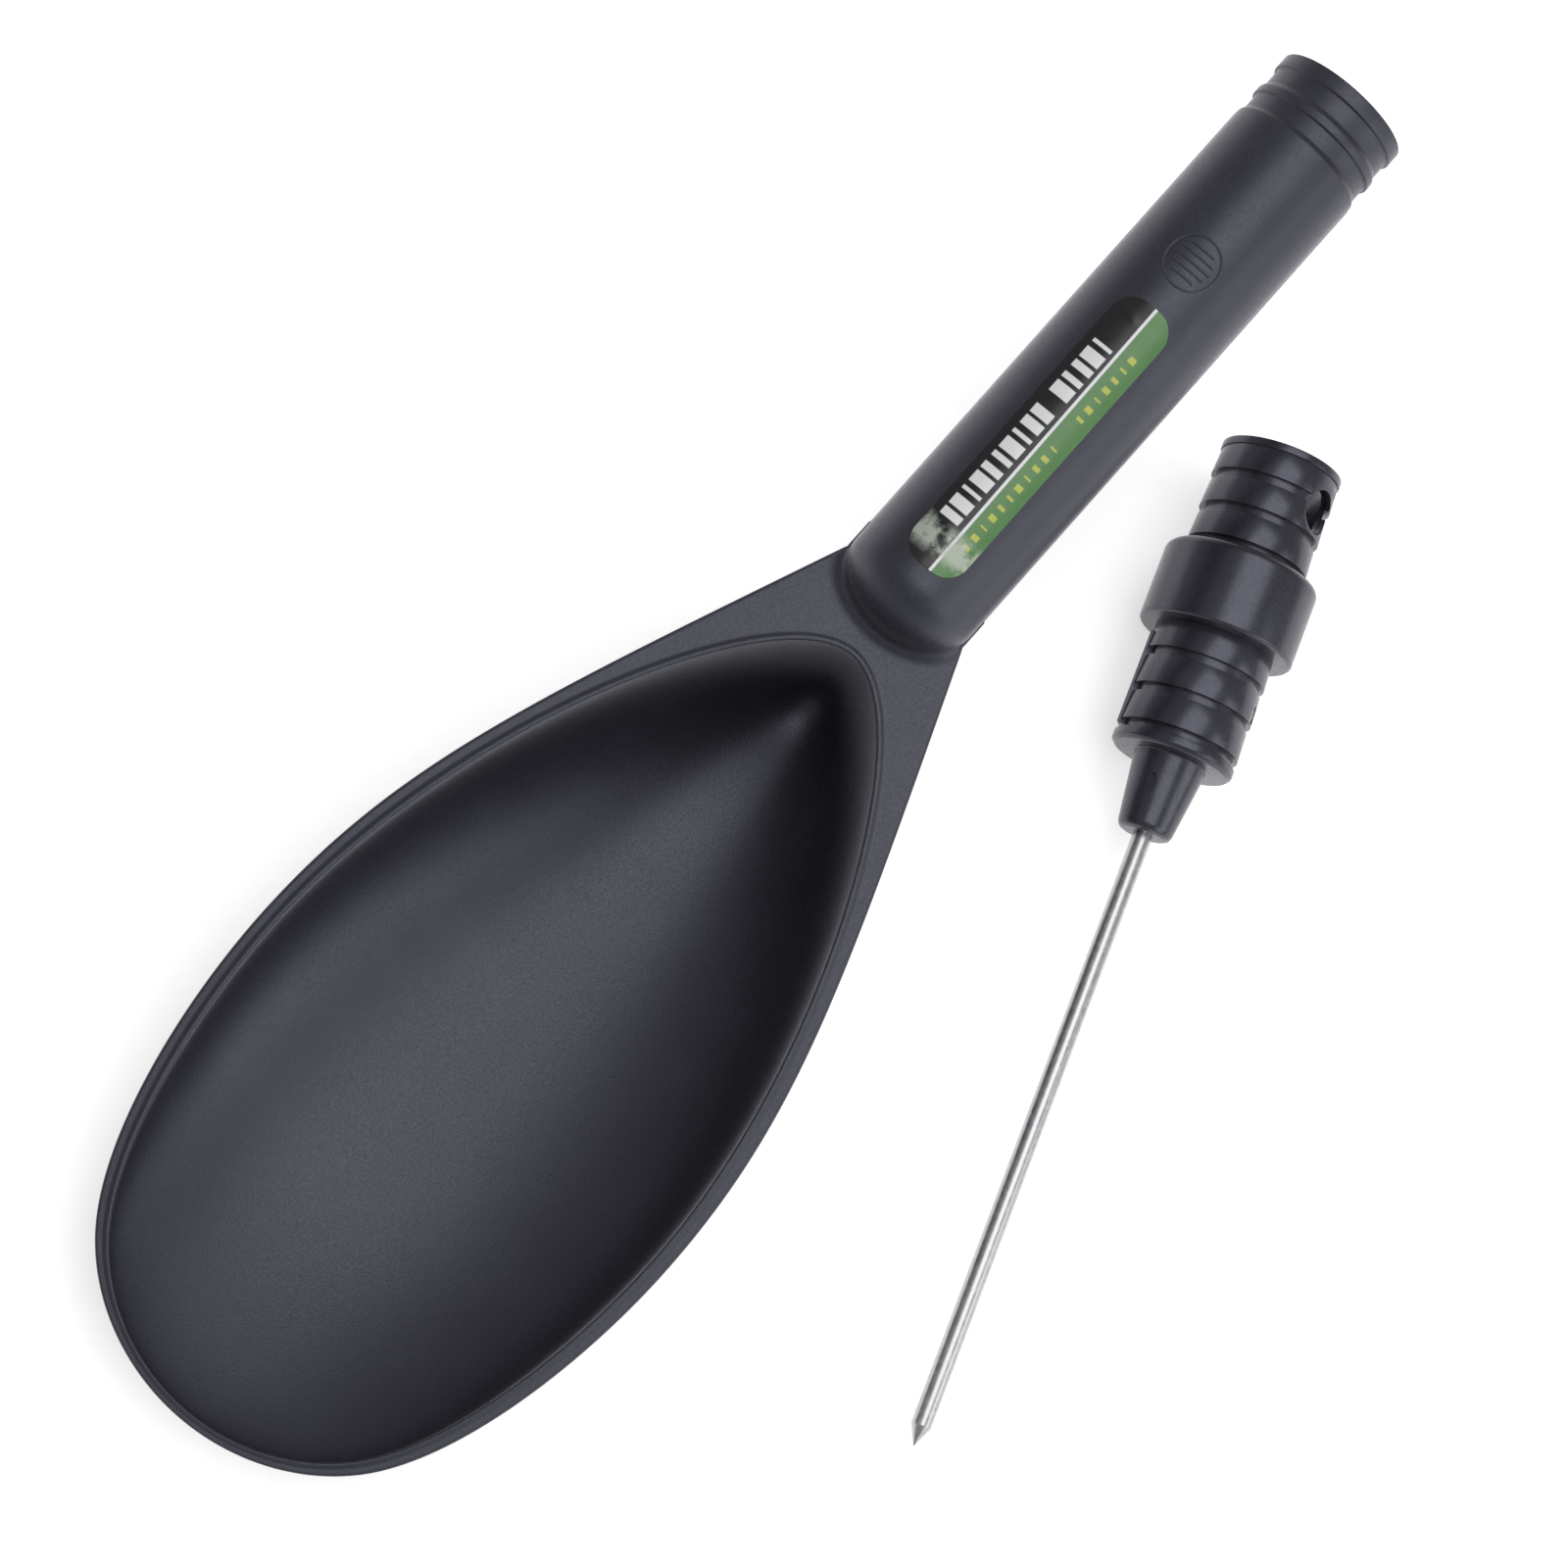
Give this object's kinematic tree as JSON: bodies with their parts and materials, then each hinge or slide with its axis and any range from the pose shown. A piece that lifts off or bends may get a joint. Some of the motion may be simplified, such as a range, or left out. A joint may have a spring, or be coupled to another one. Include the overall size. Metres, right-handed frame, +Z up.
{
  "type": "beach sand scoop",
  "caption": "Moulded teardrop hand scoop with a hollow tubular handle, and a ribbed plug with a pointed steel probe rod that pushes into the handle's open end.",
  "frame": {"origin": "on the ground, under the middle of the box round the scoop and the plug", "axes": "+X from the scoop's tip towards its handle, +Z up"},
  "size_m": [0.392, 0.1914, 0.1073],
  "materials": {
    "scoop_plastic": "fine spark-eroded grain, charcoal",
    "label_print": "printed vinyl, black and green",
    "plug_plastic": "polished mould finish, black",
    "probe_steel": "drawn and polished along its length"
  },
  "bodies": {
    "scoop": {"scoop_bowl": "scoop_plastic", "scoop_handle": "scoop_plastic", "handle_label": "label_print"},
    "plug": {"plug_moulding": "plug_plastic", "probe_rod": "probe_steel"}
  },
  "joints": [
    {"name": "plug_lift", "type": "slide", "parent": "scoop", "child": "plug", "axis": [0, 0, 1], "range_m": [0, 0.12]}
  ]
}
